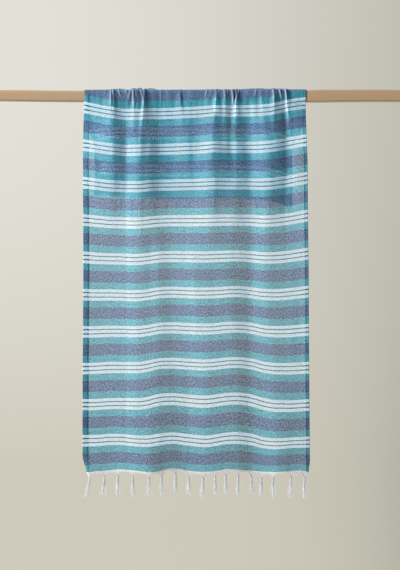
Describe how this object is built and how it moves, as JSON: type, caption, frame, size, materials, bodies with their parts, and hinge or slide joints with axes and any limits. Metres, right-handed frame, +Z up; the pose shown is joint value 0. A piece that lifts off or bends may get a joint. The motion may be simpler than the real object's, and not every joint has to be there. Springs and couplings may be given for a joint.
{
  "type": "hammam towel on a wooden rod",
  "caption": "Flat-woven striped towel with knotted end tassels, draped over a horizontal wooden rod, long end in front and short end behind.",
  "frame": {"origin": "middle of the rod's left end face, as seen from the front", "axes": "+X along the rod to the right, +Y away from the viewer of the long front panel, +Z up"},
  "size_m": [1.6, 0.1051, 1.5037],
  "materials": {
    "oak": "planed and lightly oiled",
    "striped_cotton": "thin flat-woven cotton with weft stripes in white, teal and navy",
    "cotton_yarn": "undyed cotton yarn, knotted"
  },
  "bodies": {
    "root": {"rod": "oak", "cloth": "striped_cotton", "front_fringe": "cotton_yarn", "back_fringe": "cotton_yarn"}
  },
  "joints": []
}
